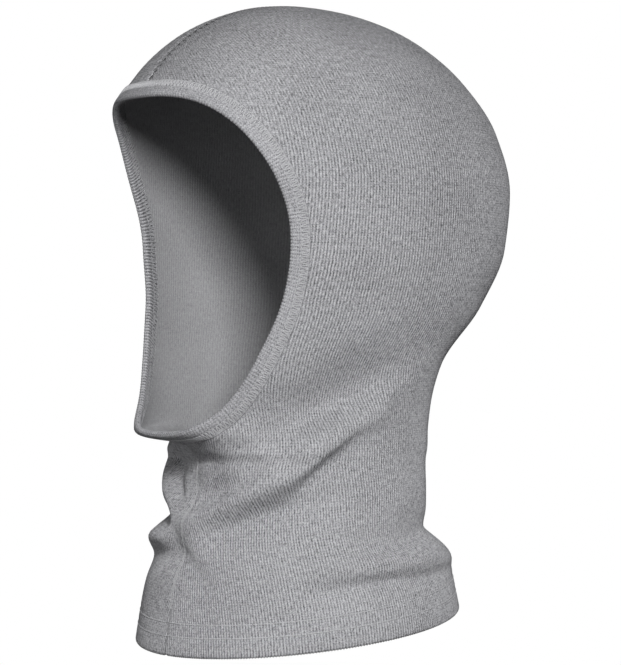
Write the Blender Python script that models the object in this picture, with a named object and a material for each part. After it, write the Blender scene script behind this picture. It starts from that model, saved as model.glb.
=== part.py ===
"""A knitted balaclava in the shape it takes on a head.

Two mirrored rib-knit panels meet in a seam over the crown and down the back, and
in a second seam down the front of the neck. A folded rib strip binds the face
opening, and the lower edge is turned up into a hem. Every sewing thread that
holds the pieces together is its own part.

Axes: +Z up, the face looks along -Y, the wearer's left is +X. The origin is the
highest point inside the crown, the spot that rests on top of the head.
"""
import math

import bmesh
import bpy
import numpy as np

MM = 0.001

# Fabric and sewing, in millimetres
FABRIC = 1.5
HEM_FABRIC = 3.2
HEM_HEIGHT = 19.0
HEM_STITCH_ROWS = (9.5, 16.0)
HEM_ZONE = 28.0
HEM_ROWS = (HEM_HEIGHT + 2, HEM_HEIGHT, HEM_STITCH_ROWS[1], HEM_STITCH_ROWS[0], 0.0)
BINDING_WIDTH = 9.5
BINDING_STITCH_INSET = 2.4
BINDING_PROUD = 0.4
BINDING_THICKNESS = 2.6
FACE_GAP = 0.7
THREAD_GAP = 0.3
OVERLOCK_GAP = 0.6
BINDING_THREAD_GAP = 0.7
THREAD_THICKNESS = 0.5
CROWN_THREAD_WIDTH = 3.0
NECK_THREAD_WIDTH = 2.4
BINDING_THREAD_WIDTH = 4.0
NEEDLE_THREAD_WIDTH = 0.9
LOOPER_THREAD_WIDTH = 7.4
OVERLOCK_WIDTH = 5.0
OVERLOCK_THICKNESS = 1.6

# Lowest and highest distance from the fabric's outer face
NEEDLE_THREAD_LIFT = (THREAD_GAP, THREAD_GAP + THREAD_THICKNESS)
OVERLOCK_LIFT = (-FABRIC - OVERLOCK_GAP - OVERLOCK_THICKNESS, -FABRIC - OVERLOCK_GAP)

MELANGE_GREY = (0.31, 0.31, 0.33)
THREAD_GREY = (0.34, 0.34, 0.36)

# Horizontal sections of the worn shape: depth below the crown, foremost point,
# rearmost point, middle (where it is widest), half breadth, front squareness
SECTIONS = (
    (0, 0, 0, 0, 0, 2.0),
    (5, -33, 44, 1, 27, 2.0),
    (18, -60, 75, 7, 50, 2.1),
    (38, -81, 101, 15, 66, 2.2),
    (63, -95, 121, 21, 74, 2.3),
    (93, -90, 129, 23, 79, 2.4),
    (123, -80, 125, 21, 79, 2.4),
    (153, -75, 108, 17, 75, 2.4),
    (183, -76, 82, 9, 68, 2.3),
    (203, -78, 76, 7, 65, 2.2),
    (214, -79.5, 74, 7, 65, 2.2),
    (223, -68, 73, 7, 66, 2.2),
    (231, -57, 71, 6, 67, 2.1),
    (241, -55, 70, 6, 69, 2.1),
    (258, -61, 69, 5, 72, 2.0),
    (283, -67, 83, 7, 79, 2.0),
    (303, -71, 87, 8, 84, 2.0),
    (333, -76, 93, 9, 88, 2.0),
)

# Edge of the face opening, from the middle of the brow to the middle of the chin:
# angle from the front in degrees, depth below the crown
OPENING = (
    (0, 50), (20, 51.5), (31, 55.5), (43, 67), (50.5, 85.5), (54, 108), (53.2, 126),
    (49.8, 155), (45.3, 175.5), (37.5, 195.5), (24, 209.5), (12, 214.5), (0, 216),
)

# The hem lies in one plane, lowest at the throat
HEM_DEPTH_AT_AXIS = 315.0
HEM_SLOPE = 0.132

# Folds of the loose neck. Each station: angle from the front towards the
# wearer's left, depth below the crown, height of the ridge. The two numbers
# before them are the widths of the slopes above and below the ridge.
FOLDS = {
    "throat_hollow": (13, 9, (
        (-32, 238, 0), (-12, 241, -8), (5, 242, -11), (25, 241, -6), (45, 232, 0),
    )),
    "cowl": (9, 9, (
        (-100, 188, 0), (-75, 211, 3), (-50, 232, 4), (-25, 248, 4), (0, 256, 6),
        (18, 249, 6), (30, 243, 6), (54, 229, 5), (80, 207, 4), (100, 184, 0),
    )),
    "crease_under_cowl": (5, 9, (
        (32, 252, 0), (46, 241, -3), (56, 234, -4), (68, 227, -4), (82, 216, -3), (104, 194, 0),
    )),
    "far_crease": (6, 7, (
        (-75, 243, 0), (-45, 254, -4), (-20, 259, -3), (0, 262, 0),
    )),
    "neck_roll_left": (10, 9, (
        (50, 274, 0), (66, 273, 2), (86, 274, 3), (108, 275, 3), (142, 276, 3.5), (180, 276, 3.5),
    )),
    "neck_roll_right": (10, 9, (
        (-180, 276, 3.5), (-140, 275, 3), (-90, 271, 3), (-45, 269, 4), (-25, 270, 4), (0, 274, 0),
    )),
    "nape_notch": (7, 6, (
        (84, 264, 0), (104, 264, -2), (124, 264, -3), (180, 263, -3),
    )),
    "nape_notch_right": (7, 6, (
        (-180, 263, -3), (-130, 263, -2), (-90, 262, 0),
    )),
    "groove_over_hem": (6, 5, (
        (45, 290, 0), (58, 288, -1.5), (84, 284, -2.5), (118, 281, -2.5), (150, 281, -1.5), (180, 281, 0),
    )),
}

# Mesh density: columns run from the face opening to the hem, rows go round it
COLUMNS = 30
ROWS = 27
COLUMN_CROWDING = 0.3
HALF_SEAM_GAP = 0.15


def clear_scene():
    for item in list(bpy.data.objects):
        bpy.data.objects.remove(item, do_unlink=True)


def monotone_slopes(x, y):
    """Slopes of a cubic through the points that never overshoots them."""
    step = np.diff(x)
    rise = np.diff(y) / step
    slopes = np.zeros_like(y)
    slopes[0] = rise[0]
    slopes[-1] = rise[-1]
    for i in range(1, len(x) - 1):
        if rise[i - 1] * rise[i] > 0:
            before = 2 * step[i] + step[i - 1]
            after = step[i] + 2 * step[i - 1]
            slopes[i] = (before + after) / (before / rise[i - 1] + after / rise[i])
    return slopes


def curve_through(x, y, at):
    """Smooth curve through the points (x, y), read at the given places."""
    x = np.asarray(x, float)
    y = np.asarray(y, float)
    slopes = monotone_slopes(x, y)
    at = np.clip(np.asarray(at, float), x[0], x[-1])
    i = np.clip(np.searchsorted(x, at, side="right") - 1, 0, len(x) - 2)
    step = x[i + 1] - x[i]
    t = (at - x[i]) / step
    t2 = t * t
    t3 = t2 * t
    start = (2 * t3 - 3 * t2 + 1) * y[i] + (t3 - 2 * t2 + t) * step * slopes[i]
    end = (3 * t2 - 2 * t3) * y[i + 1] + (t3 - t2) * step * slopes[i + 1]
    return start + end


def fold_height(angle, depth):
    """Total height of the folds at an angle (degrees) and a depth."""
    total = np.zeros(np.broadcast(angle, depth).shape)
    for above, below, stations in FOLDS.values():
        table = np.array(stations, float)
        inside = (angle >= table[0, 0]) & (angle <= table[-1, 0])
        crest = curve_through(table[:, 0], table[:, 1], angle)
        height = curve_through(table[:, 0], table[:, 2], angle)
        offset = depth - crest
        width = np.where(offset < 0, above, below)
        total += np.where(inside, height * np.exp(-(offset / width) ** 2), 0.0)
    return total


SECTION_TABLE = np.array(SECTIONS, float)
SECTION_ROOT = np.sqrt(SECTION_TABLE[:, 0])


def section_value(column, root):
    return curve_through(SECTION_ROOT, SECTION_TABLE[:, column], root)


def form(plan):
    """Outer surface over plan points.

    A plan point is a flat polar chart of the hood: its distance from the middle
    is the square root of the depth below the crown, its direction is the angle
    round the head, with the face towards -y and the wearer's left towards +x.
    """
    plan = np.asarray(plan, float)
    root = np.hypot(plan[..., 0], plan[..., 1])
    angle = np.arctan2(plan[..., 0], -plan[..., 1])
    depth = root ** 2
    front = section_value(1, root)
    back = section_value(2, root)
    middle = section_value(3, root)
    breadth = section_value(4, root)
    square = section_value(5, root)
    ahead = np.cos(angle) > 0
    power = np.where(ahead, 2 / square, 1.0)
    side = np.sign(np.sin(angle)) * np.abs(np.sin(angle)) ** power
    along = np.abs(np.cos(angle)) ** power
    reach = np.where(ahead, front - middle, back - middle)
    bulge = fold_height(np.degrees(angle), depth)
    x = breadth * side + bulge * np.sin(angle)
    y = middle + reach * along - bulge * np.cos(angle)
    return np.stack([x, y, FABRIC - depth], axis=-1)


def polar(angle, depth):
    """Plan point at an angle (radians) and a depth."""
    root = np.sqrt(depth)
    return np.stack([root * np.sin(angle), -root * np.cos(angle)], axis=-1)


def chart_frame(plan):
    """Tangents of the form along the two plan axes, and its outward normal."""
    h = 0.02
    along_x = (form(plan + [h, 0]) - form(plan - [h, 0])) / (2 * h)
    along_y = (form(plan + [0, h]) - form(plan - [0, h])) / (2 * h)
    normal = np.cross(along_x, along_y)
    normal /= np.linalg.norm(normal, axis=-1, keepdims=True)
    return along_x, along_y, normal


def walk(plan, heading, distance, steps=8):
    """Walk a distance over the surface from plan points, starting along heading."""
    plan = np.array(plan, float)
    heading = np.array(heading, float)
    for _ in range(steps):
        along_x, along_y, normal = chart_frame(plan)
        level = heading - normal * np.sum(heading * normal, axis=-1, keepdims=True)
        level /= np.linalg.norm(level, axis=-1, keepdims=True)
        xx = np.sum(along_x * along_x, axis=-1)
        xy = np.sum(along_x * along_y, axis=-1)
        yy = np.sum(along_y * along_y, axis=-1)
        hx = np.sum(level * along_x, axis=-1)
        hy = np.sum(level * along_y, axis=-1)
        scale = distance / steps / (xx * yy - xy * xy)
        plan[..., 0] += (hx * yy - hy * xy) * scale
        plan[..., 1] += (hy * xx - hx * xy) * scale
        heading = level
    return plan


def even(points, places):
    """Points of a plan polyline at the given fractions of its length on the form."""
    lengths = np.linalg.norm(np.diff(form(points), axis=0), axis=1)
    travel = np.concatenate([[0.0], np.cumsum(lengths)])
    wanted = np.asarray(places) * travel[-1]
    columns = [np.interp(wanted, travel, points[:, axis]) for axis in range(points.shape[1])]
    return np.stack(columns, axis=-1)


def crowded(count):
    """Fractions from 0 to 1 that lie closer together near both ends."""
    t = np.linspace(0, 1, count)
    return t - COLUMN_CROWDING * np.sin(2 * math.pi * t) / (2 * math.pi)


def opening_plan():
    """Plan points on the edge of the opening, chin to brow, on the wearer's left."""
    table = np.array(OPENING[::-1], float)
    knots = polar(np.radians(table[:, 0]), table[:, 1])
    travel = np.concatenate([[0.0], np.cumsum(np.linalg.norm(np.diff(knots, axis=0), axis=1))])
    fine = np.linspace(0, travel[-1], 600)
    smooth = np.stack([spline(travel, knots[:, axis], fine, axis) for axis in (0, 1)], axis=-1)
    points = even(smooth, crowded(COLUMNS))
    points[[0, -1], 0] = 0.0
    return points


def spline(x, y, at, level_ends):
    """Cubic spline through the points; its ends are level, or free to slope."""
    count = len(x)
    step = np.diff(x)
    rise = np.diff(y) / step
    matrix = np.eye(count)
    right = np.zeros(count)
    for i in range(1, count - 1):
        matrix[i, i - 1:i + 2] = (step[i - 1], 2 * (step[i - 1] + step[i]), step[i])
        right[i] = 6 * (rise[i] - rise[i - 1])
    if level_ends:
        matrix[0, :2] = (2 * step[0], step[0])
        matrix[-1, -2:] = (step[-1], 2 * step[-1])
        right[0] = 6 * rise[0]
        right[-1] = -6 * rise[-1]
    bend = np.linalg.solve(matrix, right)
    i = np.clip(np.searchsorted(x, at, side="right") - 1, 0, count - 2)
    past = at - x[i]
    left = x[i + 1] - at
    cubic = (bend[i] * left ** 3 + bend[i + 1] * past ** 3) / (6 * step[i])
    from_start = (y[i] / step[i] - bend[i] * step[i] / 6) * left
    to_end = (y[i + 1] / step[i] - bend[i + 1] * step[i] / 6) * past
    return cubic + from_start + to_end


def edge_heading(plan):
    """Directions over the surface, square to the opening's edge and away from it."""
    tangent = np.gradient(form(plan), axis=0)
    tangent[0] = (1.0, 0.0, 0.0)
    tangent[-1] = (-1.0, 0.0, 0.0)
    tangent /= np.linalg.norm(tangent, axis=1, keepdims=True)
    return np.cross(tangent, chart_frame(plan)[2])


def hem_depth(angle):
    """Depth of the hem's edge at an angle, where the form meets the hem plane."""
    depth = np.full(np.shape(angle), HEM_DEPTH_AT_AXIS)
    for _ in range(12):
        y = form(polar(angle, depth))[..., 1]
        depth = HEM_DEPTH_AT_AXIS - HEM_SLOPE * y
    return depth


def hem_plane_z(y):
    return FABRIC - HEM_DEPTH_AT_AXIS + HEM_SLOPE * y


def coons(first, last, start, end):
    """Plan grid filled in between four boundary curves.

    Rows go from the curve first to the curve last, columns from start to end.
    """
    rows = len(start)
    u = crowded(len(first))[None, :, None]
    v = np.linspace(0, 1, rows)[:, None, None]
    across = (1 - u) * start[:, None] + u * end[:, None]
    down = (1 - v) * first[None] + v * last[None]
    corners = ((1 - u) * (1 - v) * first[0] + u * (1 - v) * first[-1]
               + (1 - u) * v * last[0] + u * v * last[-1])
    return across + down - corners


def panel_plan():
    """Plan grid of the wearer's left panel.

    Rows go from the face opening to the hem. Columns go from the neck seam, past
    the side, to the seam over the crown and down the back.
    """
    edge = opening_plan()
    inner = walk(edge, edge_heading(edge), BINDING_WIDTH + FACE_GAP)
    inner[[0, -1], 0] = 0.0
    angle = math.pi * crowded(COLUMNS)
    rim = hem_depth(angle)
    above_hem = polar(angle, rim - HEM_ZONE)
    above_hem[[0, -1], 0] = 0.0
    places = np.linspace(0, 1, ROWS)
    neck_seam = even(np.linspace(inner[0], above_hem[0], 400), places)
    crown_seam = even(np.linspace(inner[-1], above_hem[-1], 1600), places)
    patch = coons(inner, above_hem, neck_seam, crown_seam)
    hem_rows = []
    for height in HEM_ROWS:
        row = polar(angle, rim - height)
        row[[0, -1], 0] = 0.0
        hem_rows.append(row)
    return np.concatenate([patch, np.array(hem_rows)])


def sheet_mesh(outer, inner, name, colour, flip):
    """Closed body between two point grids of the same size."""
    rows, columns = outer.shape[:2]
    mesh = bmesh.new()
    layers = []
    for grid in (outer, inner):
        layers.append([[mesh.verts.new(point * MM) for point in row] for row in grid])
    for i in range(rows - 1):
        for j in range(columns - 1):
            out = layers[0]
            into = layers[1]
            mesh.faces.new((out[i][j], out[i][j + 1], out[i + 1][j + 1], out[i + 1][j]))
            mesh.faces.new((into[i][j], into[i + 1][j], into[i + 1][j + 1], into[i][j + 1]))
    rim = [(0, j) for j in range(columns - 1)] + [(i, columns - 1) for i in range(rows - 1)]
    rim += [(rows - 1, j) for j in range(columns - 1, 0, -1)] + [(i, 0) for i in range(rows - 1, 0, -1)]
    for (a, b), (c, d) in zip(rim, rim[1:] + rim[:1]):
        mesh.faces.new((layers[0][c][d], layers[0][a][b], layers[1][a][b], layers[1][c][d]))
    return finish_mesh(mesh, name, colour, flip)


def finish_mesh(mesh, name, colour, flip):
    if flip:
        bmesh.ops.reverse_faces(mesh, faces=mesh.faces[:])
    data = bpy.data.meshes.new(name)
    mesh.to_mesh(data)
    mesh.free()
    data.shade_smooth()
    data.set_sharp_from_angle(angle=math.radians(50))
    item = bpy.data.objects.new(name, data)
    bpy.context.scene.collection.objects.link(item)
    data.materials.append(knit_material(name, colour))
    return item


def knit_material(name, colour):
    material = bpy.data.materials.new(name)
    material.use_nodes = True
    shader = material.node_tree.nodes["Principled BSDF"]
    shader.inputs["Base Color"].default_value = (*colour, 1.0)
    shader.inputs["Roughness"].default_value = 0.95
    shader.inputs["Metallic"].default_value = 0.0
    return material


def mirrored(points):
    return points * np.array([-1.0, 1.0, 1.0])


def side_points(plan, side, lift):
    """Points of one side of the hood, lifted off the form along its normal."""
    signed = plan * np.array([side, 1.0])
    return form(signed) + chart_frame(signed)[2] * np.asarray(lift)[..., None]


def make_panel(name, side):
    plan = panel_plan()
    outer = side_points(plan, side, np.zeros(plan.shape[:2]))
    thickness = np.full(plan.shape[:2], FABRIC)
    thickness[ROWS + 1:] = HEM_FABRIC
    inner = side_points(plan, side, -thickness)
    for grid in (outer, inner):
        grid[:, [0, -1], 0] = side * HALF_SEAM_GAP
        grid[-1, :, 2] = hem_plane_z(grid[-1, :, 1])
    return sheet_mesh(outer, inner, name, MELANGE_GREY, side > 0)


def swept(rings, name, colour, closed):
    """Closed body from cross-section rings, in a loop or with flat ends."""
    mesh = bmesh.new()
    loops = [[mesh.verts.new(point * MM) for point in ring] for ring in rings]
    size = len(loops[0])
    pairs = list(zip(loops, loops[1:]))
    if closed:
        pairs.append((loops[-1], loops[0]))
    for first, second in pairs:
        for k in range(size):
            after = (k + 1) % size
            mesh.faces.new((first[k], first[after], second[after], second[k]))
    if not closed:
        mesh.faces.new(loops[0][::-1])
        mesh.faces.new(loops[-1])
    bmesh.ops.recalc_face_normals(mesh, faces=mesh.faces[:])
    return finish_mesh(mesh, name, colour, False)


def full_opening():
    """Plan points and headings round the opening: up the left side, down the right."""
    left = opening_plan()
    headings = edge_heading(left)
    right = (left * [-1, 1])[::-1][1:-1]
    right_headings = mirrored(headings)[::-1][1:-1]
    return np.concatenate([left, right]), np.concatenate([headings, right_headings])


def make_binding():
    """Folded rib strip round the face opening."""
    plan, heading = full_opening()
    top = BINDING_PROUD
    low = BINDING_PROUD - BINDING_THICKNESS
    round_off = BINDING_THICKNESS * 0.28
    across = (round_off, 3.2, 5.4, 7.5, BINDING_WIDTH)
    profile = [(0.0, low + round_off), (0.0, top - round_off)]
    profile += [(place, top) for place in across]
    profile += [(place, low) for place in across[::-1]]
    columns = []
    for across, lift in profile:
        place = walk(plan, heading, across) if across else plan
        columns.append(form(place) + chart_frame(place)[2] * lift)
    rings = np.stack(columns, axis=1)
    return swept(rings, "face_binding", MELANGE_GREY, True)


def ribbon_rings(plan, heading, width, low, high):
    """Thin flat cross-sections along a stitch line, lifted off the form."""
    upper = []
    lower = []
    for across in (-width / 2, 0.0, width / 2):
        place = walk(plan, heading, across)
        normal = chart_frame(place)[2]
        upper.append(form(place) + normal * high)
        lower.append(form(place) + normal * low)
    return np.stack(upper + lower[::-1], axis=1)


def seam_ribbon(plan, name, width, low, high):
    """Thread along a seam in the middle plane, from one end to the other."""
    heading = np.tile([1.0, 0.0, 0.0], (len(plan), 1))
    return swept(ribbon_rings(plan, heading, width, low, high), name, THREAD_GREY, False)


def make_seam_threads():
    plan = panel_plan()[:ROWS]
    for seam, line, width in (
        ("crown_seam", plan[1:, -1], CROWN_THREAD_WIDTH),
        ("neck_seam", plan[2:, 0], NECK_THREAD_WIDTH),
    ):
        seam_ribbon(line, seam + "_needle_thread", width, *NEEDLE_THREAD_LIFT)
        seam_ribbon(line, seam + "_overlock_thread", OVERLOCK_WIDTH, *OVERLOCK_LIFT)


def make_binding_threads():
    plan, heading = full_opening()
    line = walk(plan, heading, BINDING_WIDTH - BINDING_STITCH_INSET)
    outward = walk(plan, heading, BINDING_WIDTH - BINDING_STITCH_INSET + 1)
    aim = form(outward) - form(line)
    above = BINDING_PROUD + BINDING_THREAD_GAP
    outer = ribbon_rings(line, aim, BINDING_THREAD_WIDTH, above, above + THREAD_THICKNESS)
    below = BINDING_PROUD - BINDING_THICKNESS - BINDING_THREAD_GAP
    inner = ribbon_rings(line, aim, BINDING_THREAD_WIDTH, below - THREAD_THICKNESS, below)
    swept(outer, "binding_needle_thread", THREAD_GREY, True)
    swept(inner, "binding_looper_thread", THREAD_GREY, True)


def hem_ring(height, width, low, high, name):
    """Thread ring round the hem at a height above its edge."""
    half = math.pi * crowded(COLUMNS)
    angle = np.concatenate([half, -half[-2:0:-1]])
    rim = hem_depth(angle)
    rings = []
    for shift in (-width / 2, width / 2):
        place = polar(angle, rim - height - shift)
        normal = chart_frame(place)[2]
        rings.append((form(place) + normal * high, form(place) + normal * low))
    section = np.stack([rings[0][0], rings[1][0], rings[1][1], rings[0][1]], axis=1)
    return swept(section, name, THREAD_GREY, True)


def make_hem_threads():
    low_row, high_row = HEM_STITCH_ROWS
    hem_ring(low_row, NEEDLE_THREAD_WIDTH, *NEEDLE_THREAD_LIFT, "hem_lower_needle_thread")
    hem_ring(high_row, NEEDLE_THREAD_WIDTH, *NEEDLE_THREAD_LIFT, "hem_upper_needle_thread")
    inside = -HEM_FABRIC - THREAD_GAP
    middle = (low_row + high_row) / 2
    hem_ring(middle, LOOPER_THREAD_WIDTH, inside - THREAD_THICKNESS, inside, "hem_looper_thread")


def main():
    clear_scene()
    make_panel("left_panel", 1)
    make_panel("right_panel", -1)
    make_binding()
    make_seam_threads()
    make_binding_threads()
    make_hem_threads()


main()
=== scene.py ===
"""The knitted balaclava as it looks: two rib-knit panels, a folded rib binding round
the face opening, and every thread that sews them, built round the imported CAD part.

Lengths are in millimetres until a mesh is made. The wearer's left is +X, the face
looks along -Y, and the origin is the top of the inside of the crown.
"""

import math

import bpy
import numpy as np
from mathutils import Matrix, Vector, kdtree


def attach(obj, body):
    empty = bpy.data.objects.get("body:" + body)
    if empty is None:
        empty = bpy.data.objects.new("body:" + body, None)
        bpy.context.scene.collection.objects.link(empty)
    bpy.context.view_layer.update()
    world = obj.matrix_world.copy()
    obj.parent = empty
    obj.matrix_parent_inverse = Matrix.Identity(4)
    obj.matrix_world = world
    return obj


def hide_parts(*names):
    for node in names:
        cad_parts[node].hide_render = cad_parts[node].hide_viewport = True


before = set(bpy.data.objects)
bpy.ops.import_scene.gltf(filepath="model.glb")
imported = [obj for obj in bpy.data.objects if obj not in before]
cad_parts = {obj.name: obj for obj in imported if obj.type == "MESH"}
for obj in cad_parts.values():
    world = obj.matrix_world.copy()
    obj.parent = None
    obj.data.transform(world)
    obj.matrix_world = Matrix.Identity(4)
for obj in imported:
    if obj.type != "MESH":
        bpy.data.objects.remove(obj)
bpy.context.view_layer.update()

MM = 0.001
FABRIC = 1.5
HEM_FABRIC = 3.2
HEM_HEIGHT = 19.0
HEM_STITCH_ROWS = (9.5, 16.0)
HEM_DEPTH_AT_AXIS = 315.0
HEM_SLOPE = 0.132
HEM_ZONE = 28.0
HEM_TAPER_START = 200.0

# The panels end under the binding, and meet in grooves along the middle plane
BINDING_WIDTH = 9.5
PANEL_EDGE = 4.5
SEAM_GAP = 0.12
SEAM_MARGIN = 9.0
EDGE_MARGIN = 8.0
BEHIND_OPENING = 60.0
OUT_OF_REACH = 99.0
GROOVE_WIDTH = 0.9
CROWN_GROOVE = 0.55
NECK_GROOVE = 0.3
NECK_TOP = 200.0
BINDING_GROOVE = 0.3
HEM_GROOVE = 0.42

# Knit: distance between ribs against depth below the crown
RIB_PITCH = ((0, 1.72), (150, 1.72), (215, 1.5), (250, 1.46), (333, 1.54))
RIB_HEIGHT = 0.24
SAMPLES_PER_RIB = 4

# Ribs are faint on the crown, and full below a second depth
CROWN_RIB_SHARE = 0.3
CROWN_FADE = (20, 95)

# Distance between the rows of a panel's mesh, finer where the cloth folds
HEAD_ROW = 3.6
NECK_ROW = 2.2
FOLD_ROW = 1.4
LEDGE_ROW = 0.8

# Binding: ribs round the opening, and the lift of its outer and inner face
BINDING_RIBS = 312
BINDING_SAMPLES = 5
BINDING_RIB_HEIGHT = 0.06
BINDING_TOP = 0.85
BINDING_LOW = -2.2
BINDING_OUTER_LEG = 9.0

# Cover stitch of the binding: distances from the opening's edge, and the thread
COVER_STITCHES = 256
COVER_SAMPLES = 8
STITCH_NEAR = 5.0
STITCH_FAR = 9.1
COVER_THREAD = 0.3
LOOPER_THREAD = 0.2

# Centre seams: spacing of the thread's points, and where the visible seams begin
SEAM_STEP = 0.3
SEAM_SAMPLES = 8
BROW_SEAM_END = 37.2
NECK_SEAM_START = 224.0
SEAM_END_ABOVE_HEM = 3.0
SEAM_THREAD = 0.2

# Hem stitches
HEM_STITCHES = 190
HEM_SAMPLES = 9
HEM_THREAD = 0.24
HEM_LOOPER_THREAD = 0.22

# Camera and lamps, in metres, degrees and watts
TARGET = (0.0, 0.015, -0.1642)
CAMERA_AZIMUTH = 54.0
CAMERA_DISTANCE = 1.4
CAMERA_LENS = 147.8
LAMP_AIM = (0.0, 0.015, -0.16)
KEY_AZIMUTH = 62.0
KEY_ELEVATION = 17.0
KEY_DISTANCE = 1.5
KEY_SIZE = 0.35
KEY_POWER = 21.5
FILL_PLACE = (0.45, -1.6, -0.16)
FILL_SIZE = 1.0
FILL_POWER = 4.0
FLOOR_REACH = 12.0
FLOOR_HEIGHT = -0.42
GLOW_BELOW = 0.075
GLOW_ABOVE = 0.15

# Horizontal sections: depth, foremost, rearmost, middle, half breadth, squareness
SECTIONS = np.array((
    (0, 0, 0, 0, 0, 2.0),
    (5, -33, 44, 1, 27, 2.0),
    (18, -60, 75, 7, 50, 2.1),
    (38, -81, 101, 15, 66, 2.2),
    (63, -95, 121, 21, 74, 2.3),
    (93, -90, 129, 23, 79, 2.4),
    (123, -80, 125, 21, 79, 2.4),
    (153, -75, 108, 17, 75, 2.4),
    (183, -76, 82, 9, 68, 2.3),
    (203, -78, 76, 7, 65, 2.2),
    (214, -79.5, 74, 7, 65, 2.2),
    (223, -68, 73, 7, 66, 2.2),
    (231, -57, 71, 6, 67, 2.1),
    (241, -55, 70, 6, 69, 2.1),
    (258, -61, 69, 5, 72, 2.0),
    (283, -67, 83, 7, 79, 2.0),
    (303, -71, 87, 8, 84, 2.0),
    (333, -76, 93, 9, 88, 2.0),
), float)

# Edge of the face opening from brow to chin: angle from the front in degrees, depth
OPENING = np.array((
    (0, 50), (20, 51.5), (31, 55.5), (43, 67), (50.5, 85.5), (54, 108), (53.2, 126),
    (49.8, 155), (45.3, 175.5), (37.5, 195.5), (24, 209.5), (12, 214.5), (0, 216),
), float)

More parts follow.
